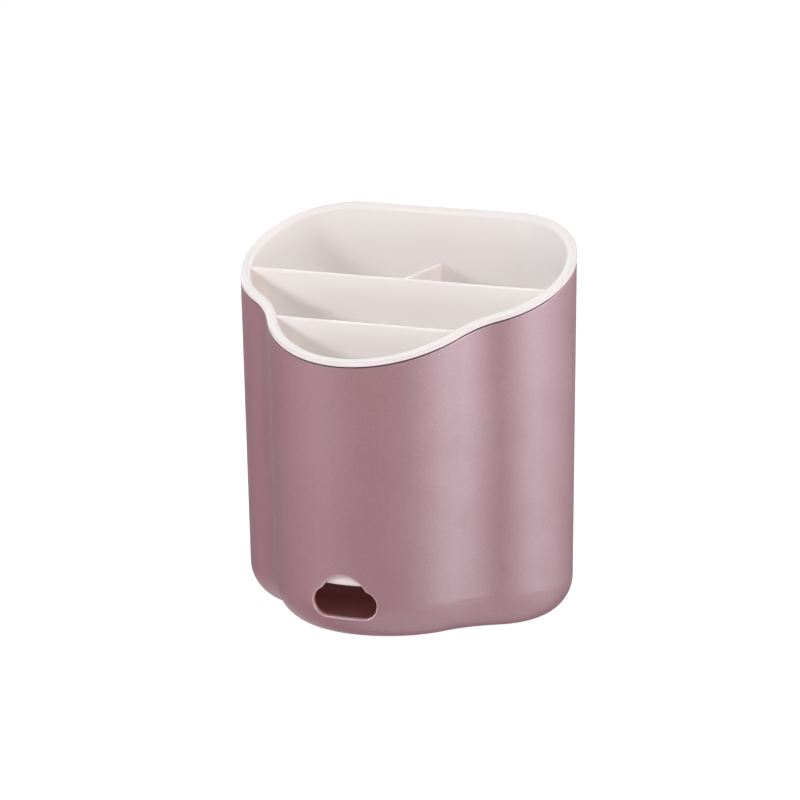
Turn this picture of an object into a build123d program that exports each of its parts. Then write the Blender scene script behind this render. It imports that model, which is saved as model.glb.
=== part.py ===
from build123d import *
import os
from math import atan, atan2, cos, degrees, hypot, pi, sin, sqrt

# Kitchen chopstick and cutlery holder: an outer shell, and a liner with three
# partitions that hangs in it by its lip. Millimetres. +Z is up, the front lobe points
# to -Y, and the origin is under the middle of the holder, on the surface it stands on.

# ---------------------------------------------------------------- driving dimensions
# Plan outline at mid height (z = MID_Z): two side lobes, a front lobe, two valleys
# between them and a flat back, all tangent to each other.
MID_Z = 80.0
SIDE_R = 38.05            # radius of each side lobe
SIDE_X = 36.95            # its centre, left and right of the middle
SIDE_Y = 16.385
FRONT_R = 51.17           # radius of the front lobe
FRONT_Y = -4.035          # its centre
VALLEY_R = 36.94          # radius of the hollow between the front lobe and a side lobe
DRAFT = 0.0168            # the walls lean outwards by this much per millimetre of height
BLANK_H = 185.0           # height of the blanks before the top is cut

# Sloping top
RIM_Z = 147.0             # height of the top plane at y = 0
RIM_SLOPE = 0.4216        # its rise towards the back
SEAM_Z = 144.65           # height of the lip's underside at y = 0
SEAM_SLOPE = 0.4158       # a little flatter, so the lip is thinnest at the front

# Outer shell
SHELL_T = 1.8             # wall
SHELL_FLOOR_Z = 3.2       # top of the floor
BASE_R = 17.5             # rounding between wall and base
STAND_W = 5.0             # width of the ring it stands on
RECESS = 1.2              # depth of the hollow inside that ring
SHELL_EDGE_R = 0.25       # rounding of the top edge, outside
RIDGE_T = 0.8             # ridge along the inside of the top edge, which carries the lip
SEAM_GAP = 0.6            # its height: the line of shadow between shell and lip

# Outlet low on the front: a long slot with a dome on top, seen from the front
OUTLET_Z = 17.15          # centre of the slot
OUTLET_END_R = 6.35       # radius of its two ends
OUTLET_HALF = 14.8        # half of its length
DOME_Z = 18.4
DOME_R = 11.25
SHOULDER_R = 3.0          # hollow corner between the slot's end and the dome
OUTLET_EDGE_R = 0.55

# Liner
GAP = 0.6                 # space between liner and shell, all round
LINER_T = 1.9             # wall and floor
LINER_Z = 24.7            # underside of the floor
LINER_BASE_R = 2.2        # rounding between wall and floor, outside
LINER_INNER_R = 1.0       # the same, inside
LIP_PROUD = 0.15          # how far the lip stands out past the shell
LIP_OUT_R = 0.7           # rounding of the lip's top edge, outside
LIP_IN_R = 1.8            # and inside
LIP_LOW_R = 0.2           # rounding of its lower outside edge

# Partitions
WALL_T = 1.8
LONG_Y, LONG_TOP = 4.82, 148.05
FRONT_WALL_Y, FRONT_TOP = -27.5, 134.6
CROSS_TOP = 146.2
TOP_R = 0.85              # rounding of a partition's top edges

# Drain slots in the liner's floor: (x, y of the middle, length), each also mirrored
SLOT_W = 3.0
SLOTS = (
    [(0, -38.5, 14), (10, -38.2, 14), (20, -36.6, 11), (29, -33.6, 5.5)]
    + [(x, -11.4, 22) for x in (0, 10, 20, 30, 39)]
    + [(49, -5.2, 11)]
    + [(x, 16.6, 16) for x in (10, 20, 30, 40, 50, 60)]
    + [(x, 37.2, 15) for x in (10, 20, 30, 40)]
    + [(50, 35.6, 12), (59, 33.0, 6)]
)


# ------------------------------------------------------------------------- geometry
def valley_centre():
    # the valley circle touches a side lobe and the front lobe from outside
    reach = hypot(SIDE_X, SIDE_Y - FRONT_Y)
    ux, uy = SIDE_X / reach, (SIDE_Y - FRONT_Y) / reach
    from_front, from_side = FRONT_R + VALLEY_R, SIDE_R + VALLEY_R
    along = (from_front**2 - from_side**2 + reach**2) / (2 * reach)
    out = sqrt(from_front**2 - along**2)
    return along * ux + out * uy, FRONT_Y + along * uy - out * ux


def trefoil(grow):
    # the plan outline, grown outwards by this much
    side, front, valley = SIDE_R + grow, FRONT_R + grow, VALLEY_R - grow
    vx, vy = valley_centre()
    f = front / (front + valley)
    s = side / (side + valley)
    p_front = (vx * f, FRONT_Y + (vy - FRONT_Y) * f)
    p_side = (SIDE_X + (vx - SIDE_X) * s, SIDE_Y + (vy - SIDE_Y) * s)
    mx, my = (p_front[0] + p_side[0]) / 2 - vx, (p_front[1] + p_side[1]) / 2 - vy
    m = valley / hypot(mx, my)
    p_mid = (vx + mx * m, vy + my * m)
    half = (atan2(p_side[1] - SIDE_Y, p_side[0] - SIDE_X) + pi / 2) / 2
    p_lobe = (SIDE_X + side * cos(half), SIDE_Y + side * sin(half))
    p_back = (SIDE_X, SIDE_Y + side)

    def left(p):
        return (-p[0], p[1])

    ThreePointArc(left(p_front), (0, FRONT_Y - front), p_front)
    ThreePointArc(p_front, p_mid, p_side)
    ThreePointArc(p_side, p_lobe, p_back)
    Line(p_back, left(p_back))
    ThreePointArc(left(p_back), left(p_lobe), left(p_side))
    ThreePointArc(left(p_side), left(p_mid), left(p_front))


def lean(z):
    # how much larger the outline is at height z than at mid height
    return DRAFT * (z - MID_Z)


def on_front_skin(edge):
    # whether an edge of the outlet lies on the outer surface of the front lobe, which
    # curves in towards the base
    p = edge @ 0.5
    curl = BASE_R - sqrt(BASE_R**2 - (BASE_R - min(p.Z, BASE_R)) ** 2)
    skin = FRONT_R + lean(p.Z) - curl
    near = abs(hypot(p.X, p.Y - FRONT_Y) - skin) < 0.3
    return near and p.Y < -45 and 10 < p.Z < DOME_Z + DOME_R + 1


def tilted(height, slope):
    """Plane that rises towards the back, with its height over the middle."""
    up = (0, -sin(atan(slope)), cos(atan(slope)))
    return Plane(origin=(0, 0, height), x_dir=(1, 0, 0), z_dir=up)


rim_plane = tilted(RIM_Z, RIM_SLOPE)
seam_plane = tilted(SEAM_Z, SEAM_SLOPE)
land_plane = tilted(SEAM_Z - SEAM_GAP, SEAM_SLOPE)
UP_SLOPE = Axis(origin=(0, 0, 0), direction=seam_plane.z_dir)

# ------------------------------------------------------------------ tapered blanks
# Space inside the shell
with BuildPart() as shell_space:
    with BuildSketch(Plane.XY.offset(SHELL_FLOOR_Z)):
        with BuildLine():
            trefoil(lean(SHELL_FLOOR_Z) - SHELL_T)
        make_face()
    with BuildSketch(Plane.XY.offset(BLANK_H)):
        with BuildLine():
            trefoil(lean(BLANK_H) - SHELL_T)
        make_face()
    loft(ruled=True)
    fillet(shell_space.edges().group_by(Axis.Z)[0], BASE_R - SHELL_T)

# Space inside the liner, which also trims the partitions
LINER_IN = SHELL_T + GAP + LINER_T
LINER_FLOOR = LINER_Z + LINER_T
with BuildPart() as liner_space:
    with BuildSketch(Plane.XY.offset(LINER_FLOOR)):
        with BuildLine():
            trefoil(lean(LINER_FLOOR) - LINER_IN)
        make_face()
    with BuildSketch(Plane.XY.offset(BLANK_H)):
        with BuildLine():
            trefoil(lean(BLANK_H) - LINER_IN)
        make_face()
    loft(ruled=True)
    fillet(liner_space.edges().group_by(Axis.Z)[0], LINER_INNER_R)

# The lip before it is hollowed: everything above the seam, standing a little proud
with BuildPart() as lip_blank:
    with BuildSketch(Plane.XY.offset(100)):
        with BuildLine():
            trefoil(lean(100) + LIP_PROUD)
        make_face()
    with BuildSketch(Plane.XY.offset(BLANK_H)):
        with BuildLine():
            trefoil(lean(BLANK_H) + LIP_PROUD)
        make_face()
    loft(ruled=True)
    split(bisect_by=seam_plane, keep=Keep.TOP)

# The ridge that carries the lip, before it is hollowed
with BuildPart() as ridge_blank:
    with BuildSketch(Plane.XY.offset(100)):
        with BuildLine():
            trefoil(lean(100) - SHELL_T + RIDGE_T)
        make_face()
    with BuildSketch(Plane.XY.offset(BLANK_H)):
        with BuildLine():
            trefoil(lean(BLANK_H) - SHELL_T + RIDGE_T)
        make_face()
    loft(ruled=True)
    split(bisect_by=seam_plane, keep=Keep.BOTTOM)

# Outlet: seen from the front, cut straight back through the front wall
with BuildPart() as outlet_tool:
    with BuildSketch(Plane.XZ.offset(70)):
        with BuildLine():
            end_x = OUTLET_HALF - OUTLET_END_R
            # the shoulder's circle touches the slot's end and the dome from outside
            gap_x, gap_z = -end_x, DOME_Z - OUTLET_Z
            reach = hypot(gap_x, gap_z)
            to_end, to_dome = OUTLET_END_R + SHOULDER_R, DOME_R + SHOULDER_R
            along = (to_end**2 - to_dome**2 + reach**2) / (2 * reach)
            out = sqrt(to_end**2 - along**2)
            ux, uz = gap_x / reach, gap_z / reach
            sx = end_x + along * ux + out * uz
            sz = OUTLET_Z + along * uz - out * ux
            k = OUTLET_END_R / to_end
            p1 = (end_x + (sx - end_x) * k, OUTLET_Z + (sz - OUTLET_Z) * k)
            k = DOME_R / to_dome
            p2 = (sx * k, DOME_Z + (sz - DOME_Z) * k)
            mx, mz = (p1[0] + p2[0]) / 2 - sx, (p1[1] + p2[1]) / 2 - sz
            k = SHOULDER_R / hypot(mx, mz)
            pm = (sx + mx * k, sz + mz * k)
            low = OUTLET_Z - OUTLET_END_R
            Line((-end_x, low), (end_x, low))
            ThreePointArc((end_x, low), (OUTLET_HALF, OUTLET_Z), p1)
            ThreePointArc(p1, pm, p2)
            ThreePointArc(p2, (0, DOME_Z + DOME_R), (-p2[0], p2[1]))
            ThreePointArc((-p2[0], p2[1]), (-pm[0], pm[1]), (-p1[0], p1[1]))
            ThreePointArc((-p1[0], p1[1]), (-OUTLET_HALF, OUTLET_Z), (-end_x, low))
        make_face()
    extrude(amount=-45)

# ------------------------------------------------------------------------ the pieces
with BuildPart() as outer_shell:
    with BuildSketch(Plane.XY):
        with BuildLine():
            trefoil(lean(0))
        make_face()
    with BuildSketch(Plane.XY.offset(BLANK_H)):
        with BuildLine():
            trefoil(lean(BLANK_H))
        make_face()
    loft(ruled=True)
    fillet(outer_shell.edges().group_by(Axis.Z)[0], BASE_R)
    split(bisect_by=land_plane, keep=Keep.BOTTOM)
    add(ridge_blank.part)
    add(shell_space.part, mode=Mode.SUBTRACT)
    # rounded outer edge at the top, just below the ridge
    land_face = outer_shell.faces().filter_by(seam_plane).sort_by(UP_SLOPE)[-2]
    fillet(land_face.outer_wire().edges(), SHELL_EDGE_R)
    # hollow underside, so that it stands on a ring
    with BuildSketch(Plane.XY):
        with BuildLine():
            trefoil(lean(0) - BASE_R - STAND_W)
        make_face()
    extrude(amount=RECESS, mode=Mode.SUBTRACT)
    add(outlet_tool.part, mode=Mode.SUBTRACT)
    fillet(outer_shell.edges().filter_by(on_front_skin), OUTLET_EDGE_R)
outer_shell.part.label = "outer_shell"

with BuildPart() as inner_liner:
    with BuildSketch(Plane.XY.offset(LINER_Z)):
        with BuildLine():
            trefoil(lean(LINER_Z) - SHELL_T - GAP)
        make_face()
    with BuildSketch(Plane.XY.offset(BLANK_H)):
        with BuildLine():
            trefoil(lean(BLANK_H) - SHELL_T - GAP)
        make_face()
    loft(ruled=True)
    fillet(inner_liner.edges().group_by(Axis.Z)[0], LINER_BASE_R)
    add(lip_blank.part)
    split(bisect_by=rim_plane, keep=Keep.BOTTOM)
    add(liner_space.part, mode=Mode.SUBTRACT)
    rim_face = inner_liner.faces().filter_by(rim_plane).sort_by(UP_SLOPE)[-1]
    fillet(rim_face.outer_wire().edges(), LIP_OUT_R)
    rim_face = inner_liner.faces().filter_by(rim_plane).sort_by(UP_SLOPE)[-1]
    fillet(rim_face.inner_wires()[0].edges(), LIP_IN_R)
    under_face = inner_liner.faces().filter_by(seam_plane).sort_by(UP_SLOPE)[0]
    fillet(under_face.outer_wire().edges(), LIP_LOW_R)
    # drain slots
    for slot_x, slot_y, slot_len in SLOTS:
        for side in (1, -1) if slot_x else (1,):
            with BuildSketch(Plane.XY.offset(LINER_Z - 1)):
                with Locations((side * slot_x, slot_y)):
                    SlotOverall(slot_len, SLOT_W, rotation=90)
            extrude(amount=LINER_T + 2, mode=Mode.SUBTRACT)
inner_liner.part.label = "inner_liner"

with BuildPart() as long_divider:
    with Locations((0, LONG_Y, 0)):
        Box(200, WALL_T, LONG_TOP, align=(Align.CENTER, Align.CENTER, Align.MIN))
    fillet(long_divider.edges().filter_by(Axis.X).group_by(Axis.Z)[-1], TOP_R)
    add(liner_space.part, mode=Mode.INTERSECT)
long_divider.part.label = "long_divider"

with BuildPart() as front_divider:
    with Locations((0, FRONT_WALL_Y, 0)):
        Box(200, WALL_T, FRONT_TOP, align=(Align.CENTER, Align.CENTER, Align.MIN))
    fillet(front_divider.edges().filter_by(Axis.X).group_by(Axis.Z)[-1], TOP_R)
    add(liner_space.part, mode=Mode.INTERSECT)
front_divider.part.label = "front_divider"

with BuildPart() as cross_divider:
    with Locations((0, LONG_Y + WALL_T / 2, 0)):
        Box(WALL_T, 80, CROSS_TOP, align=(Align.CENTER, Align.MIN, Align.MIN))
    fillet(cross_divider.edges().filter_by(Axis.Y).group_by(Axis.Z)[-1], TOP_R)
    add(liner_space.part, mode=Mode.INTERSECT)
cross_divider.part.label = "cross_divider"

os.makedirs("parts", exist_ok=True)
for piece in (outer_shell, inner_liner, long_divider, front_divider, cross_divider):
    export_step(piece.part, f"parts/{piece.part.label}.step")
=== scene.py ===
import math
import bpy
from mathutils import Matrix, Vector

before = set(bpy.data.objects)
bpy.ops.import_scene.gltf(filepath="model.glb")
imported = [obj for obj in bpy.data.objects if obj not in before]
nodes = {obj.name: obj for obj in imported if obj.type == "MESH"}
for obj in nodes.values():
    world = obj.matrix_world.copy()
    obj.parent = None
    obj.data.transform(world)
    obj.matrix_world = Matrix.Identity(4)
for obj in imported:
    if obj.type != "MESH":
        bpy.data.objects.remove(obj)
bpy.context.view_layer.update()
scene = bpy.context.scene


# ------------------------------------------------------------------ camera
def place_camera():
    az, el, roll = (math.radians(a) for a in (24.6492, 12.8157, -0.6887))
    back = Vector((math.sin(az) * math.cos(el), -math.cos(az) * math.cos(el), math.sin(el)))
    side = Vector((math.cos(az), math.sin(az), 0.0))
    up = back.cross(side)
    right = math.cos(roll) * side + math.sin(roll) * up
    top = -math.sin(roll) * side + math.cos(roll) * up
    target = Vector((0.0, -0.000385, 0.080))
    data = bpy.data.cameras.new("camera")
    data.sensor_fit = "HORIZONTAL"
    data.sensor_width = 36.0
    data.lens = 5014.88 / 800 * 36.0
    data.clip_start, data.clip_end = 0.05, 30.0
    cam = bpy.data.objects.new("camera", data)
    m = Matrix((right, top, back)).transposed().to_4x4()
    m.translation = target + back * 2.171584 + right * 0.0030148 + top * 0.0148362
    cam.matrix_world = m
    scene.collection.objects.link(cam)
    scene.camera = cam


place_camera()


# ---------------------------------------------------------- node shorthand
class Nodes:
    """Builds one material's node tree, a node to a call."""

    def __init__(self, name):
        self.mat = bpy.data.materials.new(name)
        self.mat.use_nodes = True
        self.tree = self.mat.node_tree
        for n in list(self.tree.nodes):
            self.tree.nodes.remove(n)
        self.out = self.tree.nodes.new("ShaderNodeOutputMaterial")
        self.bsdf = self.tree.nodes.new("ShaderNodeBsdfPrincipled")
        self.link(self.bsdf.outputs[0], self.out.inputs[0])
        self.coord = self.tree.nodes.new("ShaderNodeTexCoord")

    def link(self, a, b):
        self.tree.links.new(a, b)

    def put(self, socket, value):
        if isinstance(value, bpy.types.NodeSocket):
            self.link(value, socket)
        else:
            socket.default_value = value

    def math(self, op, a, b=0.0, c=0.0, clamp=False):
        n = self.tree.nodes.new("ShaderNodeMath")
        n.operation, n.use_clamp = op, clamp
        for socket, value in zip(n.inputs, (a, b, c)):
            self.put(socket, value)
        return n.outputs[0]

    def ramp(self, value, low, high, out_low=0.0, out_high=1.0, smooth=True):
        n = self.tree.nodes.new("ShaderNodeMapRange")
        n.interpolation_type = "SMOOTHSTEP" if smooth else "LINEAR"
        self.put(n.inputs["Value"], value)
        for key, v in (("From Min", low), ("From Max", high), ("To Min", out_low), ("To Max", out_high)):
            n.inputs[key].default_value = v
        return n.outputs["Result"]

    def axes(self, vector):
        n = self.tree.nodes.new("ShaderNodeSeparateXYZ")
        self.link(vector, n.inputs[0])
        return n.outputs[0], n.outputs[1], n.outputs[2]

    def scaled(self, scale):
        n = self.tree.nodes.new("ShaderNodeMapping")
        n.vector_type = "POINT"
        n.inputs["Scale"].default_value = scale
        self.link(self.coord.outputs["Object"], n.inputs[0])
        return n.outputs[0]

    def noise(self, scale, detail=2.0, rough=0.5, vector=None):
        n = self.tree.nodes.new("ShaderNodeTexNoise")
        n.inputs["Scale"].default_value = scale
        n.inputs["Detail"].default_value = detail
        n.inputs["Roughness"].default_value = rough
        self.link(vector or self.coord.outputs["Object"], n.inputs["Vector"])
        return n.outputs["Fac"]

    def cells(self, scale):
        n = self.tree.nodes.new("ShaderNodeTexVoronoi")
        n.inputs["Scale"].default_value = scale
        self.link(self.coord.outputs["Object"], n.inputs["Vector"])
        return n.outputs["Distance"], n.outputs["Color"]

    def mix(self, fac, a, b):
        n = self.tree.nodes.new("ShaderNodeMix")
        n.data_type = "RGBA"
        self.put(n.inputs["Factor"], fac)
        self.put(n.inputs["A"], a)
        self.put(n.inputs["B"], b)
        return n.outputs["Result"]

    def shade(self, distance):
        """How open the surface is, 1 in the open and towards 0 in corners and gaps."""
        n = self.tree.nodes.new("ShaderNodeAmbientOcclusion")
        n.samples = 12
        n.inputs["Distance"].default_value = distance
        return n.outputs["AO"]

    def bump(self, height, depth, strength=1.0, after=None):
        n = self.tree.nodes.new("ShaderNodeBump")
        n.inputs["Strength"].default_value = strength
        n.inputs["Distance"].default_value = depth
        self.link(height, n.inputs["Height"])
        if after is not None:
            self.link(after, n.inputs["Normal"])
        return n.outputs[0]


def rgb(r, g, b):
    return (r, g, b, 1.0)


# --------------------------------------------------------------- materials
def pearl_pink():
    """Pearl-finished moulded plastic: fine mica flakes in a satin mauve pink outside, and the plain, redder
    plastic inside, painted brighter there as painted light for the glow that comes through the thin walls."""
    m = Nodes("pearl_pink")
    x, y, z = m.axes(m.coord.outputs["Object"])
    # flakes, each a little lighter or darker than its neighbours
    _, tone = m.cells(2600.0)
    flake = m.axes(tone)[0]
    _, tone = m.cells(1300.0)
    speck = m.axes(tone)[1]
    colour = m.mix(flake, PINK_DARK, PINK_LIGHT)
    colour = m.mix(m.ramp(speck, 0.90, 1.0, 0.0, 0.10), colour, rgb(0.49, 0.32, 0.35))
    # slow drift in the pigment, and faint flow marks that run up the walls from the base
    drift = m.ramp(m.noise(16.0, 2.0), 0.3, 0.7)
    colour = m.mix(m.math("MULTIPLY", drift, 0.16), colour, PINK_DRIFT)
    flow = m.noise(1.0, 3.0, 0.6, m.scaled((95.0, 95.0, 5.0)))
    colour = m.mix(m.ramp(flow, 0.45, 0.75, 0.0, 0.07), colour, PINK_FLOW)
    # the thin edge of the outlet: paler plastic there, plus a painted highlight where the rounded edge catches
    # the light
    ends = m.math("MAXIMUM", m.math("SUBTRACT", m.math("ABSOLUTE", x), 0.00845), 0.0)
    up = m.math("SUBTRACT", z, 0.01715)
    slot = m.math("SQRT", m.math("ADD", m.math("MULTIPLY", ends, ends), m.math("MULTIPLY", up, up)))
    slot = m.math("SUBTRACT", slot, 0.00635)
    up = m.math("SUBTRACT", z, 0.0184)
    dome = m.math("SQRT", m.math("ADD", m.math("MULTIPLY", x, x), m.math("MULTIPLY", up, up)))
    dome = m.math("SUBTRACT", dome, 0.01125)
    # the dome only counts above the slot's middle
    dome = m.math("ADD", dome, m.ramp(z, 0.0166, 0.0182, 0.02, 0.0))
    off = m.math("SMOOTH_MIN", slot, dome, 0.0015)
    pale_edge_and_highlight = m.math("MULTIPLY", m.ramp(off, 0.0004, 0.0009, 1.0, 0.0), m.math("LESS_THAN", y, -0.045))
    colour = m.mix(m.math("MULTIPLY", pale_edge_and_highlight, 0.85), colour, rgb(0.56, 0.37, 0.385))
    # painted shade: the narrow gap under the liner's lip is darkened nearly to black where it is enclosed
    gap = m.math("MULTIPLY", m.ramp(m.shade(0.0015), 0.55, 0.85, 1.0, 0.0), m.math("GREATER_THAN", z, 0.09))
    colour = m.mix(gap, colour, rgb(0.03, 0.017, 0.018))
    # inside, where the surface faces the middle of the holder, and on the floor: a redder plastic, painted
    # brighter and redder than the outside as painted light for the glow that comes through the thin walls
    nx, ny, nz = m.axes(m.coord.outputs["Normal"])
    facing = m.math("ADD", m.math("MULTIPLY", nx, x), m.math("MULTIPLY", ny, y))
    on_floor = m.math("MULTIPLY", m.math("GREATER_THAN", nz, 0.8), m.math("LESS_THAN", z, 0.01))
    inside = m.math("MAXIMUM", m.math("LESS_THAN", facing, -0.0005), on_floor)
    inside = m.math("MULTIPLY", inside, m.math("GREATER_THAN", z, 0.0025))
    colour = m.mix(inside, colour, m.mix(drift, rgb(0.51, 0.205, 0.22), rgb(0.55, 0.225, 0.24)))
    m.link(colour, m.bsdf.inputs["Base Color"])
    # painted glow: the inside faintly emits red light, standing in for light that comes through the thin walls
    m.bsdf.inputs["Emission Color"].default_value = rgb(1.0, 0.25, 0.24)
    m.link(m.math("MULTIPLY", inside, 0.012), m.bsdf.inputs["Emission Strength"])
    # satin skin: soft orange peel, broken up finely
    peel = m.noise(420.0, 2.0)
    grain = m.noise(2400.0, 1.0)
    rough = m.math("ADD", m.ramp(peel, 0.3, 0.7, 0.40, 0.45), m.ramp(m.noise(45.0, 2.0), 0.3, 0.7, -0.015, 0.02))
    m.link(m.math("ADD", rough, m.math("MULTIPLY", inside, 0.12)), m.bsdf.inputs["Roughness"])
    fine = m.bump(grain, 0.00003, 0.35)
    m.link(m.bump(peel, 0.00006, 0.35, fine), m.bsdf.inputs["Normal"])
    m.bsdf.inputs["IOR"].default_value = 2.0
    return m.mat


def cream(name, deep, pale, skin):
    """Moulded cream plastic, matte, with a fine spark-eroded grain. Its colour drifts between two tones. With
    skin, what faces outwards gets painted shade and a painted pink reflection of the shell."""
    m = Nodes(name)
    drift = m.ramp(m.noise(14.0, 2.0), 0.3, 0.7)
    colour = m.mix(drift, deep, pale)
    grain = m.noise(1900.0, 2.0)
    colour = m.mix(m.ramp(grain, 0.35, 0.75, 0.0, 0.10), colour, rgb(0.862, 0.788, 0.756))
    # painted shade: warmer and darker in the corners and beside the shell, where shade and the shell's pink
    # bounce light gather
    colour = m.mix(m.ramp(m.shade(0.007), 0.35, 0.95, 0.55, 0.0), colour, rgb(0.80, 0.685, 0.665))
    if skin:
        # painted shade and painted pink reflection of the shell on what faces outwards, most of all low down,
        # where the shell is closest
        x, y, z = m.axes(m.coord.outputs["Object"])
        nx, ny, _ = m.axes(m.coord.outputs["Normal"])
        facing = m.math("ADD", m.math("MULTIPLY", nx, x), m.math("MULTIPLY", ny, y))
        outer = m.math("MULTIPLY", m.ramp(facing, 0.026, 0.046), m.ramp(z, 0.028, 0.050, 0.95, 0.66))
        colour = m.mix(outer, colour, rgb(0.73, 0.62, 0.63))
    m.link(colour, m.bsdf.inputs["Base Color"])
    rough = m.math("ADD", m.ramp(grain, 0.3, 0.7, 0.50, 0.58), m.ramp(m.noise(60.0, 2.0), 0.3, 0.7, -0.02, 0.02))
    m.link(rough, m.bsdf.inputs["Roughness"])
    fine = m.bump(grain, 0.00003, 0.4)
    m.link(m.bump(m.noise(260.0, 2.0), 0.00005, 0.25, fine), m.bsdf.inputs["Normal"])
    m.bsdf.inputs["IOR"].default_value = 1.46
    m.bsdf.inputs["Specular IOR Level"].default_value = 0.32
    return m.mat


# mauve pink of the shell: the two tones of its flakes, its drift and its flow marks
PINK_DARK, PINK_LIGHT = rgb(0.322, 0.144, 0.174), rgb(0.368, 0.173, 0.206)
PINK_DRIFT, PINK_FLOW = rgb(0.302, 0.133, 0.164), rgb(0.39, 0.195, 0.229)
PINK = pearl_pink()
CREAM = cream("cream", rgb(0.902, 0.838, 0.812), rgb(0.918, 0.860, 0.834), True)
# the partitions are thinner; their paler cream is painted light for what comes through them, and the liner's
# darker cream is painted shade beside the shell
WALLS = cream("cream_walls", rgb(0.925, 0.860, 0.834), rgb(0.940, 0.882, 0.856), False)
for name, o in nodes.items():
    m = {"outer_shell": PINK, "inner_liner": CREAM}.get(name, WALLS)
    for i in range(len(o.material_slots)):
        o.material_slots[i].material = m


# ------------------------------------------------------------ floor, lights
def light(name, place, face, shape, w, h, power, colour, diffuse, glossy):
    data = bpy.data.lights.new(name, "AREA")
    data.shape = shape
    data.size = w
    if shape == "RECTANGLE":
        data.size_y = h
    data.energy = power
    data.color = colour
    o = bpy.data.objects.new(name, data)
    o.matrix_world = Matrix.Translation(place) @ face.to_track_quat("Z", "Y").to_matrix().to_4x4()
    scene.collection.objects.link(o)
    o.visible_camera = False
    o.visible_diffuse = diffuse
    o.visible_glossy = glossy


def lamp(name, az, el, dist, size, power, colour=(1.0, 1.0, 1.04)):
    """A round soft light at this azimuth from the front and this height, aimed at the object."""
    a, e = math.radians(az), math.radians(el)
    d = Vector((math.sin(a) * math.cos(e), -math.cos(a) * math.cos(e), math.sin(e)))
    light(name, Vector((0, 0, 0.13)) + d * dist, d, "DISK", size, size, power, colour, True, False)


def panel(az, power, colour):
    """A tall upright panel 4 m away, which only draws a band of light along the shell."""
    a = math.radians(az)
    d = Vector((math.sin(a), -math.cos(a), 0.0))
    place = d * 4.0 + Vector((0, 0, 1.79))
    light("panel_%d" % az, place, d, "RECTANGLE", 1.067, 3.82, power, colour, False, True)


def floor():
    me = bpy.data.meshes.new("floor")
    s = 30.0
    me.from_pydata([(-s, -s, 0), (s, -s, 0), (s, s, 0), (-s, s, 0)], [], [(0, 1, 2, 3)])
    o = bpy.data.objects.new("floor", me)
    scene.collection.objects.link(o)
    m = Nodes("floor_paint")
    m.link(m.mix(m.noise(3.0), rgb(0.17, 0.17, 0.17), rgb(0.19, 0.19, 0.19)), m.bsdf.inputs["Base Color"])
    m.bsdf.inputs["Emission Color"].default_value = rgb(1, 1, 1)
    m.bsdf.inputs["Emission Strength"].default_value = 0.96
    m.bsdf.inputs["Roughness"].default_value = 0.9
    m.bsdf.inputs["Specular IOR Level"].default_value = 0.0
    me.materials.append(m.mat)
    o.visible_glossy = False


floor()
lamp("key_left", -49, 18, 1.8, 0.40, 12.4, (1.0, 1.0, 1.06))
lamp("fill_front", 28, 27, 1.0, 0.42, 3.6, (1.0, 0.99, 0.96))
lamp("fill_right", 80, 30, 1.8, 0.8, 10.2, (1.0, 1.0, 1.0))
lamp("back_right", 145, 36, 1.8, 0.8, 8.4)
lamp("back_left", -135, 36, 1.8, 0.8, 7.0)
lamp("top", 0, 88, 1.8, 0.9, 6.0)
# the wall of panels whose reflections make the bands: azimuth, watts
for az, power in ((60, 51.0), (75, 109.0), (90, 189.0), (105, 54.0), (120, 145.0), (150, 92.0)):
    panel(az, power, (0.93, 1.0, 1.09))
for az, power in ((-30, 36.0), (-45, 59.0), (-60, 37.0), (-75, 20.0), (-120, 66.0), (-135, 132.0)):
    panel(az, power, (0.80, 1.0, 1.07))
# what a pale floor would give back to the rounded base
light("floor_glow", Vector((1.2, -0.35, -1.0)), Vector((0, 0, -1)), "DISK", 3.0, 3.0, 14.0, (0.86, 1.0, 1.13), False, True)
light("floor_glow_side", Vector((1.2, 0.75, -0.7)), Vector((0, 0, -1)), "DISK", 1.2, 1.2, 2.6, (0.86, 1.0, 1.13), False, True)
light("floor_glow_left", Vector((-1.0, 0.9, -0.75)), Vector((0, 0, -1)), "DISK", 1.2, 1.2, 3.0, (1.0, 0.97, 1.0), False, True)
world = bpy.data.worlds.new("studio")
scene.world = world
world.use_nodes = True
world.node_tree.nodes["Background"].inputs[0].default_value = (1, 1, 1, 1)
world.node_tree.nodes["Background"].inputs[1].default_value = 1.0
world.cycles_visibility.diffuse = False
world.cycles_visibility.glossy = False
scene.view_settings.view_transform = "Standard"
scene.view_settings.look = "None"
